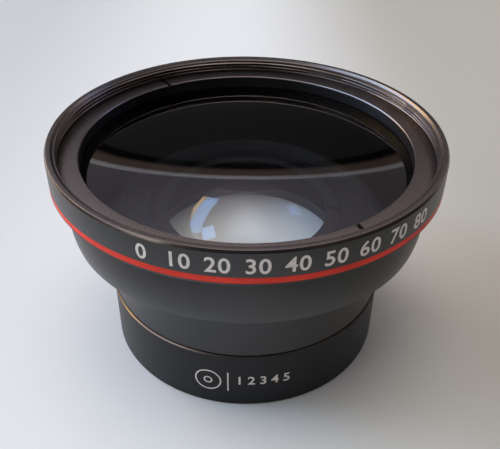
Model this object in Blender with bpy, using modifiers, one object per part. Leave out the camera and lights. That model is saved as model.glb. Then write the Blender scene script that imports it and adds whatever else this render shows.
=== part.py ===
"""A wide-angle conversion lens standing on its rear end, with the macro lens that screws out of it.

Everything is turned about the vertical axis through the origin. The origin lies in the middle of the
flat rear edge that the lens stands on, +Z points at the front glass and -Y at the side with the scale.
Sizes are in metres.
"""

import math

import bmesh
import bpy
from mathutils import Matrix

# Clearance that every piece keeps to the piece that it seats on or screws into.
GAP = 0.0003

# Points around each turned piece, and along each ground or rounded curve.
SEGMENTS = 48
OUTER_GLASS_STEPS = 5
HOLLOW_GLASS_STEPS = 8
SMALL_GLASS_STEPS = 6
BELL_STEPS = 7
ROUND_STEPS = 3

# Macro unit: barrel. The rear thread is the one that a camera lens takes.
REAR_THREAD_RADIUS = 0.0260
REAR_COLLAR_WALL = 0.0020
REAR_THREAD_INSET = 0.0006
REAR_THREAD_CHAMFER = 0.0003
RECESS_DEPTH = 0.0034
SKIRT_WALL = 0.0013
MACRO_WALL = 0.0019
MACRO_TOP_CHAMFER = 0.0004
MACRO_BASE_CHAMFER = 0.00025
MACRO_LEDGE_THICKNESS = 0.0016
MACRO_LEDGE_WIDTH = 0.0015

# Macro unit: lens and the ring that holds it.
MACRO_LENS_EDGE = 0.00125
MACRO_LENS_CURVE = 0.120
MACRO_RING_GRIP = 0.0013
MACRO_RING_LEDGE = 0.0008
MACRO_RING_THICKNESS = 0.0015

# Thread that joins the wide unit to the macro unit.
JOIN_SPACE = 0.00206
JOIN_LEDGE = 0.0011
JOIN_LENGTH = 0.0030
JOIN_WALL = 0.0035
JOIN_CHAMFER = 0.0003

# Wide unit: barrel, from the seam upwards.
NECK_INSET = 0.0003
NECK_LENGTH = 0.0117
NECK_FILLET = 0.0015
NECK_WALL = 0.0021
UNDERSIDE_RISE = 0.0039
BELL_TAPER = 0.00125
BELL_EDGE_ROUND = 0.0006
BELL_STRAIGHT = 0.0016
LEDGE_THICKNESS = 0.0013
FLANGE_OVERHANG = 0.0020
FLANGE_THICKNESS = 0.0010
FLANGE_BEVEL = 0.0006
SPIGOT_WALL = 0.0007
SPIGOT_LENGTH = 0.0025

# Second lens, its seat, its ring and the stepped light baffle above it.
SECOND_LENS_EDGE = 0.0016
SECOND_LENS_CURVE = 0.040
SECOND_LENS_HOLLOW_CURVE = 0.070
SECOND_SEAT_WIDTH = 0.0017
SECOND_SEAT_THICKNESS = 0.0010
SECOND_SEAT_TAPER = 0.0008
SECOND_RING_GRIP = 0.0017
SECOND_RING_LEDGE = 0.0013
SECOND_RING_THICKNESS = 0.0013
SECOND_RING_INSET = 0.0030
BAFFLE_LEDGE = 0.0036
BAFFLE_THROAT_STEP = 0.0004
BAFFLE_HEIGHT = 0.0035
BAFFLE_INSET = 0.0002
BAFFLE_STEPS = 4
BAFFLE_RIM_WALL = 0.0007

# Front lens, its cushion and its ring.
FRONT_LENS_RADIUS = 0.0354
FRONT_LENS_RIM = 0.0064
FRONT_LENS_CENTRE = 0.0029
FRONT_OUTER_CURVE = 0.165
FRONT_HOLLOW_CURVE = 0.045
FRONT_LENS_CHAMFER = 0.0003
SEAL_WIDTH = 0.0052
SEAL_THICKNESS = 0.0008
FRONT_RING_GRIP = 0.0014
FRONT_RING_BEVEL = 0.0004
FRONT_RING_FLANGE = 0.0007
FRONT_RING_CONE = 0.0003
FRONT_RING_LIP = 0.0013
FRONT_RING_LIP_LENGTH = 0.0003
FRONT_RING_LEDGE = 0.0009
FRONT_RING_THREAD_LENGTH = 0.001175

# Rim: the red line and the front ring with the filter thread.
RED_RING_WIDTH = 0.0010
RED_RING_THICKNESS = 0.0009
RIM_SKIRT_WALL = 0.0010
RIM_WALL_ABOVE_RED = 0.0052
RIM_OUTER_CHAMFER_WIDTH = 0.0003
RIM_OUTER_CHAMFER_HEIGHT = 0.0005
RIM_LAND = 0.0009
FILTER_THREAD_STEP = 0.0004

# Spanner slots: two across each ring, in line on both sides of the axis.
FRONT_SLOT_AZIMUTH = math.radians(33.5)
SECOND_SLOT_AZIMUTH = math.radians(80)
MACRO_SLOT_AZIMUTH = math.radians(20)
SLOT_WIDTH = 0.0010
SLOT_DEPTH = 0.0005

SHARP_ANGLE = math.radians(28)


def sagitta(curve, radius):
    """Height of a spherical cap of this curve, from its rim to its top."""
    return curve - math.sqrt(curve * curve - radius * radius)


# Radii of the macro unit, from the rear thread outwards.
rear_bore = REAR_THREAD_RADIUS - REAR_COLLAR_WALL
macro_lens_radius = rear_bore + MACRO_LEDGE_WIDTH
macro_ring_bore = macro_lens_radius - MACRO_RING_GRIP
macro_ring_radius = macro_lens_radius + GAP + MACRO_RING_LEDGE
join_radius = macro_ring_radius + GAP + JOIN_LEDGE
macro_radius = join_radius + GAP + MACRO_WALL
skirt_bore = macro_radius - SKIRT_WALL

# Radii of the neck and of what it holds, from its outer side inwards.
neck_radius = macro_radius - NECK_INSET
lower_bore = join_radius - JOIN_WALL
baffle_radius = neck_radius - NECK_WALL - GAP
second_ring_radius = baffle_radius - BAFFLE_LEDGE - GAP
second_lens_radius = second_ring_radius - SECOND_RING_LEDGE - GAP
second_ring_bore = second_lens_radius - SECOND_RING_GRIP
second_seat_bore = second_lens_radius - SECOND_SEAT_WIDTH
baffle_throat = second_ring_radius + BAFFLE_THROAT_STEP

# Radii of the bell and the rim, from the front lens outwards.
front_hollow_radius = FRONT_LENS_RADIUS - FRONT_LENS_RIM
front_ring_bore = FRONT_LENS_RADIUS - FRONT_RING_GRIP
front_thread_radius = FRONT_LENS_RADIUS + GAP + FRONT_RING_LEDGE
spigot_radius = front_thread_radius + GAP + SPIGOT_WALL
rim_skirt_bore = spigot_radius + GAP
rim_skirt_radius = rim_skirt_bore + RIM_SKIRT_WALL
red_ring_bore = rim_skirt_radius + GAP
rim_radius = red_ring_bore + RED_RING_WIDTH
filter_thread_radius = rim_skirt_bore + FILTER_THREAD_STEP
front_flange_radius = filter_thread_radius - GAP
bell_upper_radius = rim_radius - FLANGE_OVERHANG
bell_lower_radius = bell_upper_radius - BELL_TAPER

# Heights of the macro unit, from the table up.
macro_ledge = RECESS_DEPTH + MACRO_LEDGE_THICKNESS
macro_lens_base = macro_ledge + GAP
macro_lens_rim = macro_lens_base + MACRO_LENS_EDGE
macro_lens_top = macro_lens_rim + sagitta(MACRO_LENS_CURVE, macro_lens_radius)
macro_ring_base = macro_lens_top - sagitta(MACRO_LENS_CURVE, macro_ring_bore) + GAP
macro_ring_top = macro_ring_base + MACRO_RING_THICKNESS
join_shoulder = macro_ring_top + JOIN_SPACE
join_end = join_shoulder + GAP
macro_top = join_end + JOIN_LENGTH

# Heights of the wide unit, which starts at the seam.
seam = macro_top + GAP
neck_top = seam + NECK_LENGTH
bell_base = neck_top + UNDERSIDE_RISE
front_ledge = bell_base + LEDGE_THICKNESS
seal_base = front_ledge + GAP
front_lens_base = seal_base + SEAL_THICKNESS + GAP
front_hollow_top = front_lens_base + sagitta(FRONT_HOLLOW_CURVE, front_hollow_radius)
front_lens_top = front_hollow_top + FRONT_LENS_CENTRE
front_lens_rim = front_lens_top - sagitta(FRONT_OUTER_CURVE, FRONT_LENS_RADIUS)
front_ring_base = front_lens_top - sagitta(FRONT_OUTER_CURVE, front_ring_bore) + GAP
front_thread_base = front_ring_base + FRONT_RING_LIP_LENGTH
front_flange_base = front_thread_base + FRONT_RING_THREAD_LENGTH
spigot_top = front_flange_base - GAP
flange_top = spigot_top - SPIGOT_LENGTH
flange_base = flange_top - FLANGE_THICKNESS
red_ring_base = flange_top + GAP
rim_base = red_ring_base + RED_RING_THICKNESS + GAP
rim_top = rim_base + RIM_WALL_ABOVE_RED

# Heights of what hangs below the front ledge.
baffle_seat = front_ledge - BAFFLE_INSET - BAFFLE_HEIGHT - GAP
second_ring_top = baffle_seat - SECOND_RING_INSET
second_ring_base = second_ring_top - SECOND_RING_THICKNESS
second_ledge = second_ring_base - GAP
second_lens_top = second_ledge + sagitta(SECOND_LENS_CURVE, second_ring_bore)
second_lens_base = second_lens_top - sagitta(SECOND_LENS_CURVE, second_lens_radius) - SECOND_LENS_EDGE
second_hollow_top = second_lens_base + sagitta(SECOND_LENS_HOLLOW_CURVE, second_seat_bore)
second_seat = second_lens_base - GAP
second_seat_base = second_seat - SECOND_SEAT_THICKNESS
lower_bore_top = second_seat_base - SECOND_SEAT_TAPER


def clear_scene():
    for obj in list(bpy.data.objects):
        bpy.data.objects.remove(obj, do_unlink=True)
    for collection in list(bpy.data.collections):
        bpy.data.collections.remove(collection)


def linear(channel):
    """One sRGB channel, 0 to 255, as the linear value that a shader takes."""
    share = channel / 255
    return share / 12.92 if share <= 0.04045 else ((share + 0.055) / 1.055) ** 2.4


def material(name, colour, roughness, metallic=0.0, transmission=0.0):
    made = bpy.data.materials.new(name)
    made.use_nodes = True
    shader = made.node_tree.nodes["Principled BSDF"]
    rgba = [linear(channel) for channel in colour] + [1.0]
    shader.inputs["Base Color"].default_value = rgba
    shader.inputs["Roughness"].default_value = roughness
    shader.inputs["Metallic"].default_value = metallic
    shader.inputs["Transmission Weight"].default_value = transmission
    made.diffuse_color = rgba
    return made


def unit(name, height, collection):
    """The empty that carries one of the two units, on the axis at the height of its lower end."""
    empty = bpy.data.objects.new(name, None)
    empty.empty_display_type = "PLAIN_AXES"
    empty.empty_display_size = macro_radius
    empty.location = (0.0, 0.0, height)
    collection.objects.link(empty)
    return empty


def arc(centre, radius, start, end, steps):
    """Points of an arc in the profile plane, from one angle to the other, both ends included."""
    points = []
    for index in range(steps + 1):
        angle = start + (end - start) * index / steps
        points.append((centre[0] + radius * math.cos(angle), centre[1] + radius * math.sin(angle)))
    return points


def cap(curve, radius, top, steps):
    """Points of a spherical surface, from its middle on the axis out to a radius."""
    end = math.asin(radius / curve)
    points = []
    for index in range(steps + 1):
        angle = end * index / steps
        points.append((curve * math.sin(angle), top - curve + curve * math.cos(angle)))
    return points


def turned(name, profile, height, parent, collection, surface):
    """A turned piece: a profile of (radius, height) points, down the outer side first, swept round.

    A profile that starts on the axis is a solid disc, and any other is a ring and is closed.
    """
    solid = profile[0][0] == 0.0
    mesh = bpy.data.meshes.new(name)
    count = len(profile)
    edges = [(index, index + 1) for index in range(count - 1)]
    if not solid:
        edges.append((count - 1, 0))
    mesh.from_pydata([(radius, 0.0, z - height) for radius, z in profile], edges, [])
    obj = bpy.data.objects.new(name, mesh)
    obj.parent = parent
    obj.location = (0.0, 0.0, height - parent.location.z)
    collection.objects.link(obj)
    screw = obj.modifiers.new("Turn", "SCREW")
    screw.axis = "Z"
    screw.angle = math.tau
    screw.steps = SEGMENTS
    screw.render_steps = SEGMENTS
    screw.use_merge_vertices = True
    screw.merge_threshold = 0.00001
    mesh.materials.append(surface)
    return obj


def cut_slots(ring, azimuth, bore, radius, top, cutters):
    """Mills the two spanner slots into the top of a ring, straight across its width."""
    mesh = bpy.data.meshes.new(ring.name + "_slots")
    shape = bmesh.new()
    length = radius - bore + 4 * GAP
    size = Matrix.Diagonal((SLOT_WIDTH, length, 2 * SLOT_DEPTH, 1.0))
    place = Matrix.Translation((0.0, -(bore + radius) / 2, top))
    for side in (azimuth, azimuth + math.pi):
        turn = Matrix.Rotation(side, 4, "Z")
        bmesh.ops.create_cube(shape, size=1.0, matrix=turn @ place @ size)
    shape.to_mesh(mesh)
    shape.free()
    cutter = bpy.data.objects.new(ring.name + "_slots", mesh)
    cutter.hide_render = True
    cutter.display_type = "WIRE"
    cutters.objects.link(cutter)
    slots = ring.modifiers.new("Slots", "BOOLEAN")
    slots.operation = "DIFFERENCE"
    slots.object = cutter


def macro_barrel(parent, collection, surface):
    """Outer skirt, male thread for the camera lens inside it, lens ledge and the upper thread bore."""
    profile = [
        (macro_radius - MACRO_TOP_CHAMFER, macro_top),
        (macro_radius, macro_top - MACRO_TOP_CHAMFER),
        (macro_radius, MACRO_BASE_CHAMFER),
        (macro_radius - MACRO_BASE_CHAMFER, 0.0),
        (skirt_bore, 0.0),
        (skirt_bore, RECESS_DEPTH),
        (REAR_THREAD_RADIUS, RECESS_DEPTH),
        (REAR_THREAD_RADIUS, REAR_THREAD_INSET + REAR_THREAD_CHAMFER),
        (REAR_THREAD_RADIUS - REAR_THREAD_CHAMFER, REAR_THREAD_INSET),
        (rear_bore, REAR_THREAD_INSET),
        (rear_bore, macro_ledge),
        (macro_lens_radius + GAP, macro_ledge),
        (macro_lens_radius + GAP, macro_lens_rim),
        (macro_ring_radius + GAP, macro_lens_rim),
        (macro_ring_radius + GAP, join_shoulder),
        (join_radius + GAP, join_shoulder),
        (join_radius + GAP, macro_top),
    ]
    return turned("macro_barrel", profile, 0.0, parent, collection, surface)


def macro_element(parent, collection, surface):
    """Macro lens: flat towards the camera lens, convex towards the front."""
    profile = cap(MACRO_LENS_CURVE, macro_lens_radius, macro_lens_top, SMALL_GLASS_STEPS)
    profile += [(macro_lens_radius, macro_lens_base), (0.0, macro_lens_base)]
    return turned("macro_element", profile, macro_lens_base, parent, collection, surface)


def macro_retaining_ring(parent, collection, cutters, surface):
    """Slotted ring that screws down on the macro lens."""
    profile = [
        (macro_ring_radius, macro_ring_top),
        (macro_ring_radius, macro_ring_base),
        (macro_ring_bore, macro_ring_base),
        (macro_ring_bore, macro_ring_top),
    ]
    ring = turned("macro_retaining_ring", profile, macro_ring_base, parent, collection, surface)
    cut_slots(ring, MACRO_SLOT_AZIMUTH, macro_ring_bore, macro_ring_radius, macro_ring_top, cutters)
    return ring


def bell_side():
    """The bell's outer side: it eases in from its flange to a short straight length above the edge."""
    ease_end = bell_base + BELL_EDGE_ROUND + BELL_STRAIGHT
    points = []
    for index in range(BELL_STEPS + 1):
        share = index / BELL_STEPS
        ease = (1 - math.cos(math.pi * share)) / 2
        radius = bell_upper_radius + (bell_lower_radius - bell_upper_radius) * ease
        points.append((radius, flange_base + (ease_end - flange_base) * share))
    return points


def underside():
    """Rounded lower edge of the bell, the cone below it and the fillet into the neck."""
    edge_centre = (bell_lower_radius - BELL_EDGE_ROUND, bell_base + BELL_EDGE_ROUND)
    run = edge_centre[0] - neck_radius
    rise = edge_centre[1] - BELL_EDGE_ROUND - neck_top
    slope = math.atan2(rise, run)
    fillet_centre_radius = neck_radius + NECK_FILLET
    edge = arc(edge_centre, BELL_EDGE_ROUND, 0.0, slope - math.pi / 2, ROUND_STEPS)
    start = edge[-1]
    tangent = math.pi / 2 + slope
    foot = (
        fillet_centre_radius + NECK_FILLET * math.cos(tangent),
        start[1] - (start[0] - fillet_centre_radius - NECK_FILLET * math.cos(tangent)) * math.tan(slope),
    )
    centre = (fillet_centre_radius, foot[1] - NECK_FILLET * math.sin(tangent))
    fillet = arc(centre, NECK_FILLET, tangent, math.pi, ROUND_STEPS)
    return edge + fillet


def main_barrel(parent, collection, surface):
    """Bell, neck and rear thread in one, bored for both lenses, with the flange for the rim."""
    profile = [
        (spigot_radius, spigot_top),
        (spigot_radius, flange_top),
        (rim_radius, flange_top),
        (rim_radius, flange_base + FLANGE_BEVEL),
        (rim_radius - FLANGE_BEVEL, flange_base),
    ]
    profile += bell_side()
    profile += underside()
    profile += [
        (neck_radius, seam),
        (join_radius, seam),
        (join_radius, join_end + JOIN_CHAMFER),
        (join_radius - JOIN_CHAMFER, join_end),
        (lower_bore, join_end),
        (lower_bore, lower_bore_top),
        (second_seat_bore, second_seat_base),
        (second_seat_bore, second_seat),
        (second_lens_radius + GAP, second_seat),
        (second_lens_radius + GAP, second_ledge),
        (second_ring_radius + GAP, second_ledge),
        (second_ring_radius + GAP, baffle_seat),
        (baffle_radius + GAP, baffle_seat),
        (baffle_radius + GAP, front_ledge),
        (FRONT_LENS_RADIUS + GAP, front_ledge),
        (FRONT_LENS_RADIUS + GAP, front_thread_base - GAP),
        (front_thread_radius + GAP, front_thread_base - GAP),
        (front_thread_radius + GAP, spigot_top),
    ]
    return turned("main_barrel", profile, seam, parent, collection, surface)


def second_element(parent, collection, surface):
    """Second lens: convex towards the front, with a shallow hollow towards the macro lens."""
    profile = cap(SECOND_LENS_CURVE, second_lens_radius, second_lens_top, SMALL_GLASS_STEPS)
    profile.append((second_lens_radius, second_lens_base))
    profile += reversed(cap(SECOND_LENS_HOLLOW_CURVE, second_seat_bore, second_hollow_top, SMALL_GLASS_STEPS))
    return turned("second_element", profile, second_lens_base, parent, collection, surface)


def second_retaining_ring(parent, collection, cutters, surface):
    """Slotted ring that screws down on the second lens."""
    profile = [
        (second_ring_radius, second_ring_top),
        (second_ring_radius, second_ring_base),
        (second_ring_bore, second_ring_base),
        (second_ring_bore, second_ring_top),
    ]
    ring = turned("second_retaining_ring", profile, second_ring_base, parent, collection, surface)
    cut_slots(ring, SECOND_SLOT_AZIMUTH, second_ring_bore, second_ring_radius, second_ring_top, cutters)
    return ring


def baffle_ring(parent, collection, surface):
    """Ring with a stepped throat that keeps stray light off the second lens."""
    base = baffle_seat + GAP
    top = base + BAFFLE_HEIGHT
    throat_top = baffle_radius - BAFFLE_RIM_WALL
    profile = [(baffle_radius, top), (baffle_radius, base)]
    for index in range(BAFFLE_STEPS):
        radius = baffle_throat + (throat_top - baffle_throat) * index / (BAFFLE_STEPS - 1)
        profile.append((radius, base + BAFFLE_HEIGHT * index / BAFFLE_STEPS))
        profile.append((radius, base + BAFFLE_HEIGHT * (index + 1) / BAFFLE_STEPS))
    return turned("baffle_ring", profile, base, parent, collection, surface)


def front_seal(parent, collection, surface):
    """Flat cushion between the ledge and the rim of the front lens."""
    radius = FRONT_LENS_RADIUS
    profile = [
        (radius, seal_base + SEAL_THICKNESS),
        (radius, seal_base),
        (radius - SEAL_WIDTH, seal_base),
        (radius - SEAL_WIDTH, seal_base + SEAL_THICKNESS),
    ]
    return turned("front_seal", profile, seal_base, parent, collection, surface)


def front_element(parent, collection, surface):
    """Front lens: slightly domed outside, deeply hollow inside, with a flat rim to sit on."""
    rim = FRONT_LENS_RADIUS - FRONT_LENS_CHAMFER
    profile = cap(FRONT_OUTER_CURVE, rim, front_lens_top, OUTER_GLASS_STEPS)
    profile += [
        (FRONT_LENS_RADIUS, front_lens_rim - FRONT_LENS_CHAMFER),
        (FRONT_LENS_RADIUS, front_lens_base),
    ]
    hollow = cap(FRONT_HOLLOW_CURVE, front_hollow_radius, front_hollow_top, HOLLOW_GLASS_STEPS)
    profile += reversed(hollow)
    return turned("front_element", profile, front_lens_base, parent, collection, surface)


def front_retaining_ring(parent, collection, cutters, surface):
    """Slotted, flanged ring that screws into the barrel and presses on the front lens."""
    outer_top = front_flange_base + FRONT_RING_FLANGE
    inner_top = outer_top + FRONT_RING_CONE
    profile = [
        (front_flange_radius, outer_top),
        (front_flange_radius, front_flange_base),
        (front_thread_radius, front_flange_base),
        (front_thread_radius, front_thread_base),
        (front_ring_bore + FRONT_RING_LIP, front_thread_base),
        (front_ring_bore + FRONT_RING_LIP, front_ring_base),
        (front_ring_bore, front_ring_base),
        (front_ring_bore, inner_top - FRONT_RING_BEVEL),
        (front_ring_bore + FRONT_RING_BEVEL, inner_top),
    ]
    ring = turned("front_retaining_ring", profile, front_ring_base, parent, collection, surface)
    cut_slots(ring, FRONT_SLOT_AZIMUTH, front_ring_bore, front_flange_radius, inner_top, cutters)
    return ring


def red_ring(parent, collection, surface):
    """Thin coloured ring trapped between the barrel's flange and the front ring."""
    top = red_ring_base + RED_RING_THICKNESS
    profile = [
        (rim_radius, top),
        (rim_radius, red_ring_base),
        (red_ring_bore, red_ring_base),
        (red_ring_bore, top),
    ]
    return turned("red_ring", profile, red_ring_base, parent, collection, surface)


def front_ring(parent, collection, surface):
    """Front ring: filter thread above, skirt that screws over the barrel's spigot below."""
    land_outer = rim_radius - RIM_OUTER_CHAMFER_WIDTH
    land_inner = land_outer - RIM_LAND
    profile = [
        (land_outer, rim_top),
        (rim_radius, rim_top - RIM_OUTER_CHAMFER_HEIGHT),
        (rim_radius, rim_base),
        (rim_skirt_radius, rim_base),
        (rim_skirt_radius, flange_top + GAP),
        (rim_skirt_bore, flange_top + GAP),
        (rim_skirt_bore, spigot_top),
        (filter_thread_radius, spigot_top),
        (filter_thread_radius, rim_top - (land_inner - filter_thread_radius)),
        (land_inner, rim_top),
    ]
    return turned("front_ring", profile, flange_top + GAP, parent, collection, surface)


def apply_and_shade(parts):
    """Turns each part's modifiers into mesh, smooth over its curves and sharp at its corners."""
    bpy.context.view_layer.update()
    graph = bpy.context.evaluated_depsgraph_get()
    made = {}
    for obj in parts:
        made[obj.name] = bpy.data.meshes.new_from_object(obj.evaluated_get(graph))
    for obj in parts:
        mesh = made[obj.name]
        mesh.shade_smooth()
        mesh.set_sharp_from_angle(angle=SHARP_ANGLE)
        obj.modifiers.clear()
        obj.data = mesh


def main():
    clear_scene()
    scene = bpy.context.scene
    collection = bpy.data.collections.new("wide_angle_conversion_lens")
    cutters = bpy.data.collections.new("cutters")
    scene.collection.children.link(collection)
    scene.collection.children.link(cutters)

    black = material("black_anodised_aluminium", (30, 29, 31), 0.38, metallic=0.6)
    matt = material("matt_black_aluminium", (14, 14, 15), 0.75)
    red = material("red_anodised_aluminium", (190, 40, 34), 0.3, metallic=0.4)
    glass = material("coated_glass", (226, 232, 238), 0.02, transmission=1.0)
    rubber = material("black_rubber", (22, 22, 22), 0.8)

    macro = unit("macro_unit", 0.0, collection)
    wide = unit("wide_unit", seam, collection)

    parts = [
        macro_barrel(macro, collection, black),
        macro_element(macro, collection, glass),
        macro_retaining_ring(macro, collection, cutters, matt),
        main_barrel(wide, collection, black),
        second_element(wide, collection, glass),
        second_retaining_ring(wide, collection, cutters, matt),
        baffle_ring(wide, collection, matt),
        front_seal(wide, collection, rubber),
        front_element(wide, collection, glass),
        front_retaining_ring(wide, collection, cutters, black),
        red_ring(wide, collection, red),
        front_ring(wide, collection, black),
    ]
    apply_and_shade(parts)


main()
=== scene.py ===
"""Dresses the turned solids of a wide-angle conversion lens.

It gives them machined edges, threads, print and coated glass, and sets the stage.
"""

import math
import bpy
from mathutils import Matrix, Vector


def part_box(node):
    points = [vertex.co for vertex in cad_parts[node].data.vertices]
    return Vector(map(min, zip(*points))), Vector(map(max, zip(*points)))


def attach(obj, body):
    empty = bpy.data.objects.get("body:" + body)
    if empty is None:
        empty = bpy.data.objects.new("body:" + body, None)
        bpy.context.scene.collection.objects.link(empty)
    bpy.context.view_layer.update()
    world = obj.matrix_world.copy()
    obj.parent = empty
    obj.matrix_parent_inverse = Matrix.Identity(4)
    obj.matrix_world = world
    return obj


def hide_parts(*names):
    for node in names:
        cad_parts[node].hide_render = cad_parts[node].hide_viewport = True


bl_info = {
    "name": "Wide-angle conversion lens",
    "version": (1, 0, 0),
    "blender": (4, 5, 0),
    "location": "View3D > Sidebar > Lens",
    "description": "Builds the visible pieces of a wide-angle conversion lens around its solids, and the stage",
    "category": "Add Mesh",
}

import bmesh
import bpy
from mathutils import Matrix, Vector

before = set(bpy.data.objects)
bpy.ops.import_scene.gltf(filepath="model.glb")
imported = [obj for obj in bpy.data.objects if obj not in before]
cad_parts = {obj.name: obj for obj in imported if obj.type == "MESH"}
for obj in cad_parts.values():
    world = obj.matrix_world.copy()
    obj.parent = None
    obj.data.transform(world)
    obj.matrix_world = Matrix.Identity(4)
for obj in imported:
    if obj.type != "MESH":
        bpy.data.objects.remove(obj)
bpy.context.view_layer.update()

MM = 0.001
STEPS = 288
INNER_STEPS = 192
SAME_PLACE = 1e-7
NEARLY_STRAIGHT = math.radians(168)
SHARP_EDGE = math.radians(35)
WIDE, MACRO = "wide_unit", "macro_unit"
GLASS_INDEX = 1.52

# Patterns, as features per metre: one over the size of a feature, or coarser where that would not show
DYE_CLOUDS = 0.22 / MM  # clouds of about 4.5 mm in the dye
BLAST_GRAIN = 2.5 / MM  # blasted grain, drawn at 0.4 mm because the real 0.05 mm would not show
LACQUER_GRAIN = 1.8 / MM  # sprayed droplets of about 0.55 mm
ENAMEL_FLOW = 0.09 / MM  # pools of about 11 mm along the ring
ENAMEL_RIPPLE = 0.7 / MM  # orange peel of about 1.4 mm
INK_PATCHES = 1.2 / MM  # wiped patches of about 0.8 mm
RUBBER_BLOOM = 0.5 / MM  # dusty patches of about 2 mm
TOOL_FEED = 0.12 * MM  # rings of the lathe tool, drawn at twice the real 0.06 mm so that they show

# Steps along the curves
FRONT_STEPS, GLASS_STEPS, BELL_STEPS, CURVE_STEPS = 40, 48, 36, 32

# Front ring, red ring and slotted ring, below and behind what shows
SKIRT_RADIUS = 38.9 * MM
SKIRT_BORE = 37.9 * MM
SKIRT_TOP = 44.0 * MM
RED_BORE = 39.2 * MM
FLANGE_FOOT = 44.31 * MM
RING_BODY = 36.6 * MM
RING_STEP = 43.14 * MM
RING_NOSE = 35.3 * MM
RING_NOSE_DROP = 0.22 * MM
SLOT_AZIMUTH = 33.5

# Main barrel: groove under the flange, flare from bell to neck, and inside, as radii and heights in mm
FLANGE_SEAT = 37.6
FLANGE_BEVEL = (0.28, 41.15)
GROOVE = (37.0, 41.05)
GROOVE_FOOT = 0.4  # height of the groove's foot over the start of the bell's shoulder
FLARE = ((31.2, 26.9), (30.5, 26.4), (30.1, 25.8))
NECK_TOP = 25.0
CUP_FLOOR = 31.0 * MM  # faces inside the bell are blackened above this height
JOINT_BORE = 27.75 * MM  # and faces inside this radius at every height
BARREL_INSIDE = (
    (24.5, 17.86),
    (20.3, 18.66),
    (20.3, 19.66),
    (22.1, 19.66),
    (22.1, 22.59),
    (23.75, 22.59),
    (23.75, 27.19),
    (27.6, 27.19),
    (27.6, 31.19),
    (35.6, 31.19),
    (35.6, 42.84),
    (36.8, 42.84),
)

# Macro barrel: recess of the skirt and inside, as radii and heights in mm
MACRO_SKIRT = ((28.9, 0.0), (28.9, 3.4), (26.0, 3.4))
MACRO_INSIDE = (
    (25.7, 0.6),
    (24.0, 0.6),
    (24.0, 5.0),
    (25.6, 5.0),
    (25.6, 6.55),
    (26.8, 6.55),
    (26.8, 10.69),
    (28.3, 10.69),
)
MACRO_CHAMFER = 0.25 * MM

# Joining thread and rear thread: mean radii, ends and ridges
JOINT_MALE = 28.0 * MM
JOINT_FEMALE = 28.3 * MM
JOINT_TOP = 13.9 * MM
JOINT_BASE = 10.8 * MM
THREAD_LEAD = 0.3 * MM
REAR_THREAD = 26.0 * MM
REAR_THREAD_ENDS = (0.9 * MM, 3.2 * MM)
PITCH = 0.75 * MM
RIDGE = 0.4 * MM
RIDGE_POINTS = 0.075 * MM

# Inner rings, baffle and cushion
SECOND_BORE = 20.3 * MM
SECOND_SLOTS = 80
MACRO_BORE = 24.2 * MM
MACRO_SLOTS = 20
INNER_SLOT_DEPTH = 0.5 * MM
INNER_SLOT_WIDTH = 1.0 * MM
INNER_EDGE = 0.15 * MM
CUSHION_WIDTH = 5.2 * MM
BAFFLE_THROAT = 24.0 * MM
BAFFLE_REACH = 2.8 * MM
BAFFLE_STEPS = 12
BAFFLE_LIP = 0.08 * MM
BAFFLE_TREAD = 0.8  # width of a step's tread, as a share of the step

# Print: azimuths in degrees from the front, spacing, and the height of its foot
CAPITAL_HEIGHT = 0.72  # height of a numeral as a share of the font's size
LETTER_SPACE = 1.08
BAND_START, BAND_STEP, BAND_FOOT = -25.0, 9.25, 43.8 * MM
DIAL_AZIMUTH, DIAL_HEIGHT = -14.4, 6.6 * MM
TICK_AZIMUTH, TICK_FOOT = -6.5, 4.0 * MM
SCALE_START, SCALE_STEP, SCALE_FOOT = -2.0, 4.6, 6.2 * MM

# The floor's tone is painted light and shade: brightest round the lens as a painted pool of light, darker to either
# side as painted shade.
FLOOR_REACH = 0.12  # the floor's tone changes within this distance to either side

# Camera at the photograph's angle: place in metres, and yaw, pitch down and roll in radians
SENSOR, IMAGE_WIDTH, FOCAL_PIXELS = 36.0, 500, 659.58
CAMERA_PLACE = (0.0, -0.12028, 0.11075)
CAMERA_TURN = (0.0068, 0.62167, 0.01425)

# Lamps: bearing from the back of the stage and height in degrees, size in metres, power in watts and colour
LAMP_DISTANCE = 2.4
LAMPS = (
    ("window_high", (-65, 39), (1.90, 0.72), 33.0, "#A0CCFF"),
    ("window_low", (-65, 22), (1.90, 0.66), 32.0, "#FFD288"),
    ("window_side", (-99, 52), (0.60, 0.56), 10.0, "#A0CCFF"),
    ("pale_wall", (-114, 30), (1.80, 1.00), 11.0, "#F4F3F0"),
    ("window_right", (59, 33), (0.50, 0.56), 3.2, "#9AB8FF"),
    ("low_right", (56, 22), (0.46, 0.36), 1.2, "#FFD894"),
)


def top_of(node):
    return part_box(node)[1].z


def base_of(node):
    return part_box(node)[0].z


def radius_of(node):
    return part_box(node)[1].x


# ---- colours and nodes


def linear(colour):
    """An sRGB hex colour as the linear red, green, blue and alpha that a shader takes."""
    values = [int(colour[index : index + 2], 16) / 255 for index in (1, 3, 5)]
    return [v / 12.92 if v <= 0.04045 else ((v + 0.055) / 1.055) ** 2.4 for v in values] + [1.0]


def add(tree, kind, settings=None, **links):
    """Adds one node: settings are its properties, unlinked inputs and a ramp's stops, and links feed its inputs."""
    node = tree.nodes.new(kind)
    for name, value in (settings or {}).items():
        if name == "stops":
            elements = node.color_ramp.elements
            while len(elements) < len(value):
                elements.new(0.5)
            for element, (place, colour) in zip(elements, value):
                element.position = place
                element.color = colour
        elif isinstance(name, str) and hasattr(node, name) and name not in node.inputs:
            setattr(node, name, value)
        else:
            node.inputs[name].default_value = value
    for name, source in links.items():
        key = int(name[1:]) if name[0] == "i" and name[1:].isdigit() else name.replace("_", " ")
        tree.links.new(source, node.inputs[key])
    return node


def empty_material(name):
    made = bpy.data.materials.new(name)
    made.use_nodes = True
    made.node_tree.nodes.clear()
    return made, made.node_tree


def surfaced(made, shader):
    """Ends a material with its shader."""
    add(made.node_tree, "ShaderNodeOutputMaterial", None, Surface=shader.outputs[0])
    return made


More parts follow.
